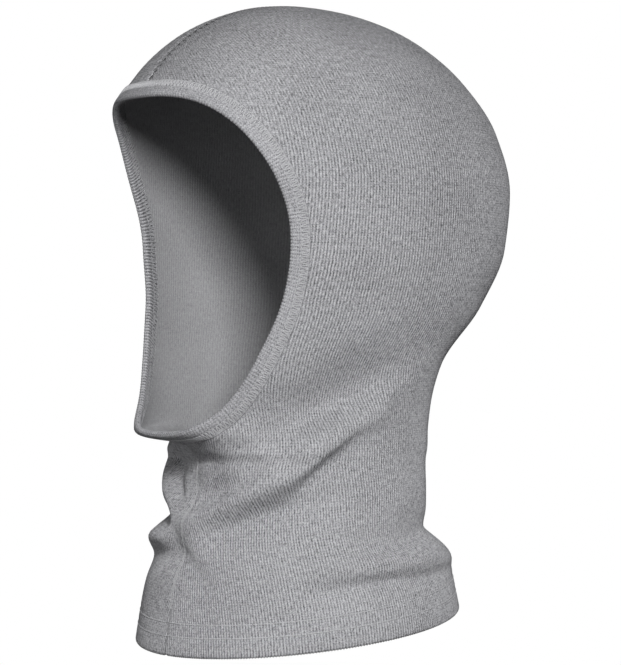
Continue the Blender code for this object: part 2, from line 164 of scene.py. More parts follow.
# Folds: sharpness, then stations of angle, depth, height, and the widths of the slopes
# above and below the ridge
FOLDS = (
    # the flat underside of the chin
    (2.0, (
        (-75, 214, 0, 2.5, 6), (-60, 216.5, -4, 2.4, 6), (-50, 218.5, -9, 2.3, 6),
        (-35, 219.8, -11.5, 2.2, 5.5), (-15, 220.2, -12, 2.2, 7), (0, 220.2, -9, 2.2, 9),
        (12, 219.7, -5.5, 2.6, 13), (24, 217.5, -3.5, 3.4, 17), (36, 212, -2.4, 4.5, 19),
        (46, 205, -1.2, 5, 18), (60, 196, 0, 5, 16),
    )),
    # the hollow of the throat
    (2.0, (
        (-52, 224, 0, 6, 8), (-42, 227, -3, 6, 8), (-32, 230, -6, 7, 8),
        (-22, 232, -7, 8, 9), (-12, 232, -5, 8, 9), (-2, 231, -2, 8, 9), (8, 230, 0, 8, 9),
    )),
    # the fuller cloth between the throat and the jaw
    (2.0, (
        (-4, 233, 0, 9, 12), (10, 234, 4, 10, 13), (24, 233, 7.5, 10, 13),
        (38, 231, 6, 10, 14), (54, 228, 0, 10, 13),
    )),
    # the roll on the far side of the throat, with the crease that runs down beside it
    (2.0, (
        (-75, 226, 0, 8, 8), (-56, 233, 3, 8, 8), (-42, 238.5, 4.2, 8, 8),
        (-30, 243, 4.2, 8, 8), (-20, 249, 3, 7, 6), (-8, 256, 0, 6, 6),
    )),
    (1.6, (
        (-46, 222, 0, 3.4, 3.4), (-35, 230, -2.5, 3.4, 3.4), (-25, 238, -3.5, 3.4, 3.4),
        (-14, 245, -2.5, 3.4, 3.4), (-2, 252, 0, 3.4, 3.4),
    )),
    # the long roll from the throat up to the back of the jaw
    (2.0, (
        (-12, 262, 0, 5, 6), (4, 258.5, 3, 4.5, 7), (13, 254, 4.5, 5, 7.5),
        (22, 249.5, 5.5, 5.5, 7.5), (34, 243.5, 6, 6.5, 7.5), (42, 240.5, 6, 8, 6.5),
        (50, 237.5, 5.8, 11, 4.6), (56, 233.5, 5.5, 12, 3.8), (64, 227.5, 5.5, 13, 3.4),
        (78, 217.5, 4.5, 13, 4.2), (88, 209, 3.5, 12, 6), (108, 190, 0, 10, 8),
    )),
    # its clear upper line near the throat, and the crease under it beside the jaw
    (1.5, (
        (-6, 253, 0, 12, 3), (8, 249.5, -2.2, 14, 3), (20, 244.5, -3, 15, 3),
        (33, 236, -2.6, 15, 5), (46, 228, 0, 14, 7),
    )),
    (1.4, (
        (38, 246.5, 0, 3, 8), (50, 240.5, -1.8, 2.8, 9), (57, 236.2, -2.6, 2.6, 9),
        (64, 231, -2.7, 2.6, 9), (77, 222, -2, 2.8, 9), (86, 213, -0.8, 3, 9),
        (96, 203, 0, 3, 8),
    )),
    # the slack above the long roll, along the jaw
    (2.0, (
        (24, 226, 0, 12, 9), (34, 222, -2.4, 17, 9), (46, 217, -6.5, 20, 8.5),
        (58, 212, -9.5, 21, 8.5), (70, 206, -10.5, 21, 8.5), (84, 196, -8.5, 20, 8.5),
        (100, 184, -4, 18, 9), (122, 172, 0, 15, 9),
    )),
    # the soft valley below the long roll
    (2.0, (
        (6, 268, 0, 6, 9), (22, 262.5, -3.4, 6, 12), (37, 256, -5, 6, 13),
        (60, 249, -3.6, 7, 12), (82, 240, 0, 7, 10),
    )),
    # the notch on the far side, and the bump below it with its own hollow
    (2.0, (
        (-80, 258, 0, 5, 5), (-55, 258, -3, 6, 4.5), (-36, 259, -5.5, 7, 4),
        (-24, 260, -5, 7, 4), (-10, 262, 0, 6, 4),
    )),
    (2.0, (
        (-80, 266, 0, 4, 8), (-50, 268, 2.5, 4, 7), (-34, 269, 3.8, 4, 6.5),
        (-18, 268.5, 3.2, 4, 6), (-4, 267, 0, 4, 6),
    )),
    (2.0, (
        (-60, 280, 0, 6, 7), (-36, 280, -2, 6, 7), (-20, 277, -3.6, 6, 7),
        (-7, 276, -3.6, 6, 7), (6, 277, 0, 6, 7),
    )),
    (2.0, (
        (-12, 266, 0, 7, 8), (-2, 273, -1.6, 7, 8), (6, 280, -2.6, 7, 8),
        (14, 286, -1.8, 7, 8), (24, 292, 0, 7, 8),
    )),
    # the roll round the back above the hem, between the notch and the last groove
    (2.0, (
        (50, 278, 0, 10, 9), (66, 278, 2, 9, 9), (86, 279, 3, 8, 9),
        (108, 279, 3.2, 8, 9), (142, 278.5, 3, 8, 9), (180, 278, 3, 8, 9),
    )),
    (2.0, (
        (-180, 278, 3, 8, 9), (-140, 275, 3, 10, 9), (-90, 271, 3, 10, 9),
        (-60, 269, 2, 10, 9), (-40, 270, 0, 10, 9),
    )),
    (1.6, (
        (62, 272, 0, 12, 5), (82, 271.5, -3.6, 13, 4.5), (98, 270.5, -5.4, 13, 4),
        (112, 268, -5.8, 11, 4), (126, 265.5, -4.8, 8, 4.5), (150, 264.5, -3.2, 5, 5),
        (180, 264, -3, 6, 5),
    )),
    (1.4, ((-180, 264, -3, 6, 5), (-130, 263, -2.5, 6, 5), (-90, 262, 0, 6, 5))),
    (1.4, (
        (45, 293, 0, 6, 5), (58, 291.5, -2.8, 4.6, 5), (84, 287.5, -4.4, 4.4, 5),
        (118, 285, -3.8, 4.6, 5), (145, 284, -1.2, 5, 5), (165, 283, 0, 6, 5),
    )),
)


def monotone_slopes(x, y):
    """Slopes of a cubic through the points that never overshoots them."""
    step = np.diff(x)
    rise = np.diff(y) / step
    slopes = np.zeros_like(y)
    slopes[0] = rise[0]
    slopes[-1] = rise[-1]
    for i in range(1, len(x) - 1):
        if rise[i - 1] * rise[i] > 0:
            before = 2 * step[i] + step[i - 1]
            after = step[i] + 2 * step[i - 1]
            slopes[i] = (before + after) / (before / rise[i - 1] + after / rise[i])
    return slopes


def curve_through(x, y, at, level=False):
    """Smooth curve through the points (x, y), read at the given places.

    With level set, it runs level into an end where y is nought.
    """
    x = np.asarray(x, float)
    y = np.asarray(y, float)
    slopes = monotone_slopes(x, y)
    if level:
        slopes[0] *= y[0] != 0
        slopes[-1] *= y[-1] != 0
    at = np.clip(np.asarray(at, float), x[0], x[-1])
    i = np.clip(np.searchsorted(x, at, side="right") - 1, 0, len(x) - 2)
    step = x[i + 1] - x[i]
    t = (at - x[i]) / step
    t2 = t * t
    t3 = t2 * t
    start = (2 * t3 - 3 * t2 + 1) * y[i] + (t3 - 2 * t2 + t) * step * slopes[i]
    end = (3 * t2 - 2 * t3) * y[i + 1] + (t3 - t2) * step * slopes[i + 1]
    return start + end


def smooth_step(low, high, value):
    t = np.clip((np.asarray(value, float) - low) / (high - low), 0, 1)
    return t * t * (3 - 2 * t)


def spline(x, y, at, level_ends):
    """Cubic spline through the points; its ends are level, or free to slope."""
    count = len(x)
    step = np.diff(x)
    rise = np.diff(y) / step
    matrix = np.eye(count)
    right = np.zeros(count)
    for i in range(1, count - 1):
        matrix[i, i - 1:i + 2] = (step[i - 1], 2 * (step[i - 1] + step[i]), step[i])
        right[i] = 6 * (rise[i] - rise[i - 1])
    if level_ends:
        matrix[0, :2] = (2 * step[0], step[0])
        matrix[-1, -2:] = (step[-1], 2 * step[-1])
        right[0] = 6 * rise[0]
        right[-1] = -6 * rise[-1]
    bend = np.linalg.solve(matrix, right)
    i = np.clip(np.searchsorted(x, at, side="right") - 1, 0, count - 2)
    past = at - x[i]
    left = x[i + 1] - at
    cubic = (bend[i] * left ** 3 + bend[i + 1] * past ** 3) / (6 * step[i])
    from_start = (y[i] / step[i] - bend[i] * step[i] / 6) * left
    to_end = (y[i + 1] / step[i] - bend[i + 1] * step[i] / 6) * past
    return cubic + from_start + to_end


def fold_height(angle, depth):
    """Total height of the folds at an angle (degrees) and a depth."""
    angle = (angle + 180) % 360 - 180
    total = np.zeros(np.broadcast(angle, depth).shape)
    for sharpness, stations in FOLDS:
        table = np.array(stations, float)
        inside = (angle >= table[0, 0]) & (angle <= table[-1, 0])
        crest, height, above, below = (
            curve_through(table[:, 0], table[:, k], angle, k == 2) for k in range(1, 5)
        )
        offset = depth - crest
        width = np.where(offset < 0, above, below)
        ridge = height * np.exp(-np.abs(offset / width) ** sharpness)
        total += np.where(inside, ridge, 0.0)
    return total


def surface(angle, depth, folded=True):
    """Outer face of the hood at an angle (radians, towards the wearer's left) and depth."""
    angle, depth = np.broadcast_arrays(np.asarray(angle, float), np.asarray(depth, float))
    root = np.sqrt(np.maximum(depth, 0))
    knots = np.sqrt(SECTIONS[:, 0])
    front, back, middle, breadth, square = (
        curve_through(knots, SECTIONS[:, k], root) for k in range(1, 6)
    )
    ahead = np.cos(angle) > 0
    power = np.where(ahead, 2 / square, 1.0)
    side = np.sign(np.sin(angle)) * np.abs(np.sin(angle)) ** power
    along = np.abs(np.cos(angle)) ** power
    reach = np.where(ahead, front - middle, back - middle)
    bulge = fold_height(np.degrees(angle), depth) if folded else 0.0
    x = breadth * side + bulge * np.sin(angle)
    y = middle + reach * along - bulge * np.cos(angle)
    return np.stack([x, y, FABRIC - depth], axis=-1)


def unit(vectors):
    return vectors / np.maximum(np.linalg.norm(vectors, axis=-1, keepdims=True), 1e-12)


def distance_along(points):
    """Distance travelled along a row of points, from nought."""
    return np.concatenate([[0.0], np.cumsum(np.linalg.norm(np.diff(points, axis=0), axis=1))])


def on_plan(plan):
    """Outer face over chart points: the square root of the depth, by direction."""
    root = np.hypot(plan[..., 0], plan[..., 1])
    return surface(np.arctan2(plan[..., 0], -plan[..., 1]), root ** 2)


def to_plan(angle, depth):
    root = np.sqrt(depth)
    return np.stack([root * np.sin(angle), -root * np.cos(angle)], axis=-1)


def plan_frame(plan, h=0.02):
    """Tangents of the outer face along the two chart axes, and its outward normal."""
    along_x = (on_plan(plan + [h, 0]) - on_plan(plan - [h, 0])) / (2 * h)
    along_y = (on_plan(plan + [0, h]) - on_plan(plan - [0, h])) / (2 * h)
    return along_x, along_y, unit(np.cross(along_x, along_y))


def walk(plan, heading, distance, steps):
    """Walk over the surface from chart points; gives the points and new headings."""
    plan = np.array(plan, float)
    heading = np.array(heading, float)
    for _ in range(steps):
        along_x, along_y, normal = plan_frame(plan)
        level = unit(heading - normal * np.sum(heading * normal, axis=-1, keepdims=True))
        xx = np.sum(along_x * along_x, axis=-1)
        xy = np.sum(along_x * along_y, axis=-1)
        yy = np.sum(along_y * along_y, axis=-1)
        hx = np.sum(level * along_x, axis=-1)
        hy = np.sum(level * along_y, axis=-1)
        scale = distance / steps / (xx * yy - xy * xy)
        plan[..., 0] += (hx * yy - hy * xy) * scale
        plan[..., 1] += (hy * xx - hx * xy) * scale
        heading = level
    return plan, heading


def closed_opening(count):
    """Chart points and outward headings evenly round the face opening."""
    table = OPENING[::-1]
    knots = to_plan(np.radians(table[:, 0]), table[:, 1])
    travel = distance_along(knots)
    fine = np.linspace(0, travel[-1], 900)
    half = np.stack([spline(travel, knots[:, k], fine, k) for k in (0, 1)], axis=-1)
    half[[0, -1], 0] = 0.0
    loop = np.concatenate([half, (half * [-1, 1])[::-1][1:]])
    travel = distance_along(on_plan(loop))
    wanted = np.arange(count) / count * travel[-1]
    plan = np.stack([np.interp(wanted, travel, loop[:, k]) for k in (0, 1)], axis=-1)
    points = on_plan(plan)
    tangent = unit(np.roll(points, -3, axis=0) - np.roll(points, 3, axis=0))
    heading = np.cross(tangent, plan_frame(plan)[2])
    return plan, heading


def hem_depth(angle):
    """Depth of the hem's edge at an angle, where the surface meets the hem plane."""
    depth = np.full(np.shape(angle), HEM_DEPTH_AT_AXIS)
    for _ in range(12):
        depth = HEM_DEPTH_AT_AXIS - HEM_SLOPE * surface(angle, depth)[..., 1]
    return depth


def link_mesh(name, points, faces, uv, materials, face_material=None):
    """Mesh object from points in millimetres, faces, and one knit coordinate a point."""
    mesh = bpy.data.meshes.new(name)
    mesh.from_pydata((np.asarray(points) * MM).tolist(), [], faces)
    layer = mesh.uv_layers.new(name="Knit")
    corner = np.empty(len(mesh.loops), np.int32)
    mesh.loops.foreach_get("vertex_index", corner)
    layer.data.foreach_set("uv", np.asarray(uv, np.float32)[corner].ravel())
    for material in materials:
        mesh.materials.append(material)
    if face_material is not None:
        mesh.polygons.foreach_set("material_index", np.asarray(face_material, np.int32))
    mesh.shade_smooth()
    mesh.validate()
    item = bpy.data.objects.new(name, mesh)
    bpy.context.scene.collection.objects.link(item)
    return item


def clip(rows, faces, field):
    """Keep the part of a polygon mesh where the field is positive, cutting cleanly.

    Every column of rows is cut along with the position.
    """
    inside = field > 0
    rows = list(rows)
    cuts = {}
    kept = []
    for face in faces:
        flags = [inside[v] for v in face]
        if all(flags):
            kept.append(face)
            continue
        if not any(flags):
            continue
        shape = []
        for a, b in zip(face, face[1:] + face[:1]):
            if inside[a]:
                shape.append(a)
            if inside[a] != inside[b]:
                key = (min(a, b), max(a, b))
                if key not in cuts:
                    t = field[key[0]] / (field[key[0]] - field[key[1]])
                    cuts[key] = len(rows)
                    rows.append(rows[key[0]] * (1 - t) + rows[key[1]] * t)
                shape.append(cuts[key])
        if len(shape) > 2:
            kept.append(shape)
    used = sorted({v for face in kept for v in face})
    renumber = {old: new for new, old in enumerate(used)}
    kept = [[renumber[v] for v in face] for face in kept]
    return np.array([rows[v] for v in used]), kept


def row_places():
    """Depths of the knit rows on the side of the head, evenly spaced over the surface."""
    fine = np.linspace(0, HEM_DEPTH_AT_AXIS - 1.6, 4000) ** 2
    fine = fine / fine[-1] * (HEM_DEPTH_AT_AXIS - 1.6)
    side = surface(np.full(fine.shape, math.pi / 2), fine, False)
    spacing = HEAD_ROW + (NECK_ROW - HEAD_ROW) * smooth_step(180, 205, fine)
    folds = smooth_step(205, 212, fine) * (1 - smooth_step(262, 290, fine))
    spacing += (FOLD_ROW - NECK_ROW) * folds
    ledge = smooth_step(213, 217, fine) * (1 - smooth_step(224, 230, fine))
    spacing += (LEDGE_ROW - FOLD_ROW) * ledge
    step = np.linalg.norm(np.diff(side, axis=0), axis=1)
    count = np.concatenate([[0.0], np.cumsum(step / (0.5 * (spacing[1:] + spacing[:-1])))])
    total = int(round(count[-1]))
    return np.interp(np.linspace(0, count[-1], total + 1), count, fine)


def hem_profile():
    """Rows of the turned-up hem: height of the base, then outer and inner offsets.

    Offsets are (up, out) from the base; the last pair is the cloth's own direction.
    """
    centre = HEM_FABRIC / 2
    tight = centre - FABRIC
    rows = []
    for turn in np.radians((30, 60, 90, 120, 150)):
        sine = math.sin(turn)
        cosine = math.cos(turn)
        rows.append((centre, (-centre * sine, centre * (cosine - 1)),
                     (-tight * sine, tight * cosine - centre), (-sine, cosine)))
    for height in np.arange(centre, HEM_HEIGHT + 0.1, (HEM_HEIGHT - centre) / 8):
        rows.append((height, (0.0, -HEM_FABRIC), (0.0, FABRIC - HEM_FABRIC), (0.0, -1.0)))
    return rows


def panel_grid(side):
    """Grid of knit rows and ribs over one panel and beyond its seams.

    Columns of the result: outer x y z, inner x y z, the cloth's direction, rib number,
    distance along the rib, height above the hem's edge, and 1 in the turned-up hem.
    """
    angles = np.radians(np.linspace(0, 180, 1441))
    rim = hem_depth(angles * side)
    depths = row_places()
    rows = [(depth, None) for depth in depths] + [(None, place) for place in hem_profile()]
    widest = 0.0
    sampled = []
    for depth, place in rows:
        if place is None:
            sink = smooth_step(HEM_TAPER_START, HEM_DEPTH_AT_AXIS - HEM_ZONE, depth)
            down = depth + sink * (rim - HEM_DEPTH_AT_AXIS)
            nominal = depth
        else:
            down = rim - place[0]
            nominal = HEM_DEPTH_AT_AXIS - place[0]
        base = surface(angles * side, down, False)
        arc = distance_along(base)
        arc -= arc[len(angles) // 2]
        ribs = arc / np.interp(nominal, *np.transpose(RIB_PITCH))
        sampled.append((down, ribs, nominal, place))
        widest = max(widest, -ribs[0], ribs[-1])
    reach = int(widest) + 2
    reach *= SAMPLES_PER_RIB
    columns = np.arange(-reach, reach + 1) / SAMPLES_PER_RIB
    strips = []
    travel = 0.0
    before = None
    for down, ribs, nominal, place in sampled:
        angle = np.interp(columns, ribs, angles)
        depth = np.maximum(np.interp(columns, ribs, down), 0.002)
        pitch = np.interp(nominal, *np.transpose(RIB_PITCH))
        past = np.abs(columns) - np.where(columns < 0, -ribs[0], ribs[-1])
        past = np.clip(past, 0, None) * pitch
        turn = angle * side
        point = surface(turn, depth)
        normal = plan_frame(to_plan(turn, depth))[2]
        lower = surface(turn, depth + 0.3)
        upper = surface(turn, np.maximum(depth - 0.3, 0.001))
        up = unit(upper - lower)
        point[:, 0] -= side * np.minimum(past, SEAM_MARGIN)
        if place is None:
            out_up, out_out, in_up, in_out, face_up, face_out = 0, 0, 0, -FABRIC, 0, 1
        else:
            (out_up, out_out), (in_up, in_out), (face_up, face_out) = place[1:]
        outer = point + up * out_up + normal * out_out
        inner = point + up * in_up + normal * in_out
        facing = unit(up * face_up + normal * face_out)
        middle = outer[len(columns) // 2]
        travel += 0.0 if before is None else float(np.linalg.norm(middle - before))
        before = middle
        height = HEM_DEPTH_AT_AXIS - nominal if place is None else place[0]
        strips.append(np.concatenate([
            outer, inner, facing, columns[:, None],
            np.full((len(columns), 1), travel),
            np.full((len(columns), 1), height),
            np.full((len(columns), 1), 0.0 if place is None else 1.0),
        ], axis=1))
    return np.array(strips)


def opening_distance(points):
    """Distance of points from the opening's edge, negative inside the opening."""
    plan, heading = closed_opening(1200)
    edge = on_plan(plan)
    tree = kdtree.KDTree(len(edge))
    for index, spot in enumerate(edge):
        tree.insert(spot, index)
    tree.balance()
    result = np.empty(len(points))
    for k, spot in enumerate(points):
        _, index, distance = tree.find(spot)
        ahead = float(np.dot(spot - edge[index], heading[index]))
        result[k] = distance if ahead > 0 else -distance
    return result


def make_panel(name, side, materials):
    """One half of the hood, from the binding and the seams to the turned-up hem."""
    grid = panel_grid(side)
    height, width = grid.shape[:2]
    rows = grid.reshape(-1, grid.shape[2])
    outer = rows[:, :3]
    inner = rows[:, 3:6]
    facing = rows[:, 6:9]
    ribs = rows[:, 9]
    above_edge = rows[:, 11]
    turned = rows[:, 12] > 0.5
    far = opening_distance(outer)
    far = np.where(outer[:, 1] < BEHIND_OPENING, far, OUT_OF_REACH)
    near_seam = np.abs(outer[:, 0])
    shown = smooth_step(BINDING_WIDTH, BINDING_WIDTH + 1.6, far) * smooth_step(0.3, 2.2, near_seam)
    below_crown = smooth_step(*CROWN_FADE, -outer[:, 2])
    shown = shown * (CROWN_RIB_SHARE + (1 - CROWN_RIB_SHARE) * below_crown)
    wave = RIB_HEIGHT * np.cos(2 * math.pi * ribs) * shown
    groove = np.where(outer[:, 2] > -NECK_TOP, CROWN_GROOVE, NECK_GROOVE)
    sunk = groove * np.exp(-(near_seam / GROOVE_WIDTH) ** 2)
    sunk += BINDING_GROOVE * (1 - smooth_step(BINDING_WIDTH - 3.5, BINDING_WIDTH + 1.0, far))
    for row in HEM_STITCH_ROWS:
        line = np.exp(-((above_edge - row) / GROOVE_WIDTH) ** 2)
        sunk += np.where(turned, 0.0, HEM_GROOVE) * line
    outer += facing * (wave - sunk)[:, None]
    inner += facing * (0.35 * wave - 0.5 * sunk)[:, None]
    faces = []
    for i in range(height - 1):
        for j in range(width - 1):
            a = i * width + j
            across = max(outer[a, 0] * side, outer[a + width + 1, 0] * side)
            if far[a] < -EDGE_MARGIN or across < -SEAM_MARGIN - 0.5:
                continue
            faces.append([a, a + width, a + width + 1, a + 1])
    rows = np.concatenate([outer, inner, rows[:, 9:11], far[:, None]], axis=1)
    rows, faces = clip(rows, faces, rows[:, 8] - PANEL_EDGE)
    rows, faces = clip(rows, faces, rows[:, 0] * side - SEAM_GAP)
    faces = tidy_faces(rows, faces)
    if side > 0:
        faces = [face[::-1] for face in faces]
    return close_sheet(name, rows, faces, materials)


def tidy_faces(rows, faces):
    """Drop corners that fall on the one before them, and faces left with no area."""
    kept = []
    for face in faces:
        shape = [
            v for k, v in enumerate(face)
            if np.abs(rows[v, :3] - rows[face[k - 1], :3]).sum() > 1e-4
        ]
        if len(shape) > 2:
            kept.append(shape)
    return kept


def close_sheet(name, rows, faces, materials):
    """Closed body between the outer and inner face of a sheet of cloth."""
    used = sorted({v for face in faces for v in face})
    renumber = {old: new for new, old in enumerate(used)}
    rows = rows[used]
    faces = [[renumber[v] for v in face] for face in faces]
    count = len(rows)
    edges = {}
    for face in faces:
        for a, b in zip(face, face[1:] + face[:1]):
            edges[(a, b)] = True
    rim = [(a, b) for a, b in edges if (b, a) not in edges]
    whole = list(faces)
    whole += [[v + count for v in face[::-1]] for face in faces]
    whole += [[b, a, a + count, b + count] for a, b in rim]
    kinds = [0] * len(faces) + [1] * len(faces) + [1] * len(rim)
    points = np.concatenate([rows[:, :3], rows[:, 3:6]])
    uv = np.concatenate([rows[:, 6:8], rows[:, 6:8]])
    return link_mesh(name, points, whole, uv, materials, kinds)


def ring_mesh(name, rings, uv, material, closed):
    """Closed body swept through rings of points, in a loop or with capped ends."""
    count, size = rings.shape[:2]
    faces = []
    for i in range(count if closed else count - 1):
        after = (i + 1) % count
        for k in range(size):
            turn = (k + 1) % size
            faces.append([i * size + k, i * size + turn, after * size + turn, after * size + k])
    if not closed:
        faces.append(list(range(size))[::-1])
        faces.append([(count - 1) * size + k for k in range(size)])
    return link_mesh(name, rings.reshape(-1, 3), faces, uv.reshape(-1, 2), [material])


def binding_profile():
    """Cross-section of the folded strip: distance from the opening's edge, lift, rib share."""
    half = (BINDING_TOP - BINDING_LOW) / 2
    centre = BINDING_TOP - half
    path = [
        (9.75, 0.05, 0.2), (9.6, 0.35, 0.4), (9.2, 0.45, 0.6), (8.4, 0.38, 0.8), (7.2, 0.36, 1),
        (6.0, 0.4, 1), (5.2, 0.55, 1), (4.4, 0.82, 1), (3.2, 0.88, 1), (2.2, 0.87, 1),
    ]
    for turn in np.radians((0, 22.5, 45, 67.5, 90, 112.5, 135, 157.5, 180)):
        distance = half * (1 - math.sin(turn))
        path.append((distance, centre + half * math.cos(turn), 1 + 4 * turn / math.pi))
    path += [
        (2.6, BINDING_LOW, 5), (4.2, -2.15, 5), (6.0, -2.0, 4.5), (7.4, -1.94, 3.5),
        (8.6, -1.86, 2), (9.3, -1.76, 1), (9.7, -1.62, 0.2),
    ]
    path += [
        (9.2, -1.52, 0), (6.5, -1.5, 0), (4.2, -1.48, 0), (2.6, -1.4, 0), (1.5, -1.15, 0),
        (1.1, -0.7, 0), (1.5, -0.3, 0), (2.6, -0.02, 0), (4.2, 0.0, 0), (6.5, 0.0, 0),
        (9.2, -0.02, 0),
    ]
    return np.array(path)


def edge_strip(plan, heading, distance):
    """Points, outward normals and headings at a distance from the opening's edge."""
    if distance > 0:
        plan, heading = walk(plan, heading, distance, max(2, int(distance / 1.5)))
    return on_plan(plan), plan_frame(plan)[2], heading


def make_binding(material):
    """Rib strip folded over the edge of the face opening."""
    count = BINDING_RIBS * BINDING_SAMPLES
    plan, heading = closed_opening(count)
    profile = binding_profile()
    phase = 2 * math.pi * np.arange(count) / BINDING_SAMPLES
    out_along = np.gradient(profile[:, 0])
    out_lift = np.gradient(profile[:, 1])
    scale = np.hypot(out_along, out_lift)
    face_along = out_lift / scale
    face_lift = -out_along / scale
    rings = []
    for k, (distance, lift, share) in enumerate(profile):
        point, normal, aim = edge_strip(plan, heading, distance)
        swell = BINDING_RIB_HEIGHT * share * np.cos(phase)
        place = point + normal * (lift + swell * face_lift[k])[:, None]
        rings.append(place + unit(aim) * (swell * face_along[k])[:, None])
    rings = np.stack(rings, axis=1)
    travel = distance_along(profile[:, :2])
    u = np.broadcast_to((np.arange(count) / BINDING_SAMPLES)[:, None], rings.shape[:2])
    v = np.broadcast_to(travel[None, :], rings.shape[:2])
    return ring_mesh("face_binding_strip", rings, np.stack([u, v], axis=-1), material, True)


def tube(path, up, radius, closed, sides=6):
    """Rings of a thread along a path; up is a direction across it at each point."""
    if closed:
        tangent = unit(np.roll(path, -1, axis=0) - np.roll(path, 1, axis=0))
    else:
        tangent = unit(np.gradient(path, axis=0))
    across = unit(np.cross(tangent, up))
    over = unit(np.cross(across, tangent))
    rings = []
    for k in range(sides):
        turn = 2 * math.pi * k / sides
        rings.append(path + (across * math.cos(turn) + over * math.sin(turn)) * radius)
    rings = np.stack(rings, axis=1)
    u = np.broadcast_to(np.arange(sides) / sides, rings.shape[:2])
    v = np.broadcast_to(distance_along(path)[:, None], rings.shape[:2])
    return rings, np.stack([u, v], axis=-1)


def thread_mesh(name, threads, material):
    """One object from several separate thread tubes, each (rings, uv, closed)."""
    points = []
    faces = []
    uvs = []
    start = 0
    for rings, uv, closed in threads:
        count, size = rings.shape[:2]
        for i in range(count if closed else count - 1):
            after = (i + 1) % count
            for k in range(size):
                turn = (k + 1) % size
                faces.append([start + i * size + k, start + i * size + turn,
                              start + after * size + turn, start + after * size + k])
        if not closed:
            faces.append([start + k for k in range(size)][::-1])
            faces.append([start + (count - 1) * size + k for k in range(size)])
        points.append(rings.reshape(-1, 3))
        uvs.append(uv.reshape(-1, 2))
        start += count * size
    return link_mesh(name, np.concatenate(points), faces, np.concatenate(uvs), [material])


def running_stitch(count, per_stitch, lift, dip):
    """Lift of a row of stitches that dips through the cloth at every needle hole."""
    phase = np.arange(count) / per_stitch
    return lift - dip * np.abs(np.cos(math.pi * phase)) ** 6


def make_binding_threads(material):
    """Cover stitch through the binding, and its looper thread inside."""
    count = COVER_STITCHES * COVER_SAMPLES
    plan, heading = closed_opening(count)
    keys = np.linspace(STITCH_NEAR, STITCH_FAR, 5)
    lines = [edge_strip(plan, heading, distance) for distance in keys]
    phase = np.arange(count) / COVER_SAMPLES % 1
    swing = smooth_step(0.0, 1.0, np.minimum(phase / 0.66, (1 - phase) / 0.34))

    def blended(which):
        stack = np.stack([line[which] for line in lines], axis=1)
        spot = np.clip(swing * (len(keys) - 1), 0, len(keys) - 1.001)
        low = spot.astype(int)
        part = (spot - low)[:, None]
        index = np.arange(count)
        return stack[index, low] * (1 - part) + stack[index, low + 1] * part

    def sewn(lift, radius, rail_lift, sign):
        path = blended(0) + blended(1) * lift
        threads = [(*tube(path, blended(1), radius, True), True)]
        for point, normal, _ in (lines[0], lines[-1]):
            stitch = running_stitch(count, COVER_SAMPLES, 0.0, 0.5)
            rail = point + normal * (rail_lift + sign * stitch)[:, None]
            threads.append((*tube(rail, normal, radius * 0.8, True), True))
        return threads

    outer = sewn(0.68, COVER_THREAD, 0.5, 1.0)
    inner = sewn(-2.12, LOOPER_THREAD, -2.05, -1.0)
    return (thread_mesh("binding_cover_stitch", outer, material),
            thread_mesh("binding_inner_stitch", inner, material))


def seam_line(start, end, front):
    """Points and normals along a seam in the middle plane between two depths."""
    fine = np.linspace(math.sqrt(max(start, 0)), math.sqrt(end), 6000) ** 2
    angle = np.full(fine.shape, 0.0 if front else math.pi)
    points = surface(angle, fine)
    travel = distance_along(points)
    wanted = np.arange(0, travel[-1], SEAM_STEP)
    depth = np.interp(wanted, travel, fine)
    plan = to_plan(np.full(depth.shape, angle[0]), np.maximum(depth, 0.01))
    points = surface(np.full(depth.shape, angle[0]), depth)
    points[:, 0] = 0.0
    normal = plan_frame(plan)[2]
    normal[:, 0] = 0.0
    return points, unit(normal)


def make_seam(prefix, line, material, knit):
    """Needle thread along a seam, and the overlocked allowance inside it."""
    points, normal = line
    count = len(points)
    right = np.tile([1.0, 0.0, 0.0], (count, 1))
    phase = np.arange(count) / SEAM_SAMPLES

    def shifted(across, lift):
        return points + right * np.reshape(across, (-1, 1)) + normal * np.reshape(lift, (-1, 1))

    def thread(path):
        return (*tube(path, normal, SEAM_THREAD, False), False)

    swing = np.abs((phase % 1) * 2 - 1) * 2 - 1
    dips = running_stitch(count, SEAM_SAMPLES, 0.02, 0.35)
    threads = [thread(shifted(0.62 * swing, -0.12 + 0.12 * np.abs(swing)))]
    threads += [thread(shifted(offset, dips)) for offset in (-0.85, 0.85)]
    needle = thread_mesh(prefix + "_needle_stitch", threads, material)
    profile = (
        (-2.4, -2.1), (0.0, -1.95), (2.4, -2.1), (2.7, -2.7), (2.3, -3.4), (0.0, -3.6),
        (-2.3, -3.4), (-2.7, -2.7),
    )
    ripple = 0.12 * np.cos(2 * math.pi * phase)
    rings = []
    for across, lift in profile:
        swell = 1 + ripple / 2.4 if abs(across) > 1 else np.ones(count)
        rings.append(shifted(across * swell, lift))
    rings = np.stack(rings, axis=1)
    u = np.broadcast_to(np.arange(len(profile)) * 1.3, rings.shape[:2])
    v = np.broadcast_to((np.arange(count) * SEAM_STEP)[:, None], rings.shape[:2])
    allowance = ring_mesh(prefix + "_allowance", rings, np.stack([u, v], axis=-1), knit, False)
    loops = np.sin(2 * math.pi * phase * 0.5)
    hook = np.cos(2 * math.pi * phase * 0.5)
    wound = shifted(2.95 * loops, -3.0 - 0.95 * np.abs(hook))
    overlock = thread_mesh(prefix + "_overlock_stitch", [thread(wound)], material)
    return needle, allowance, overlock


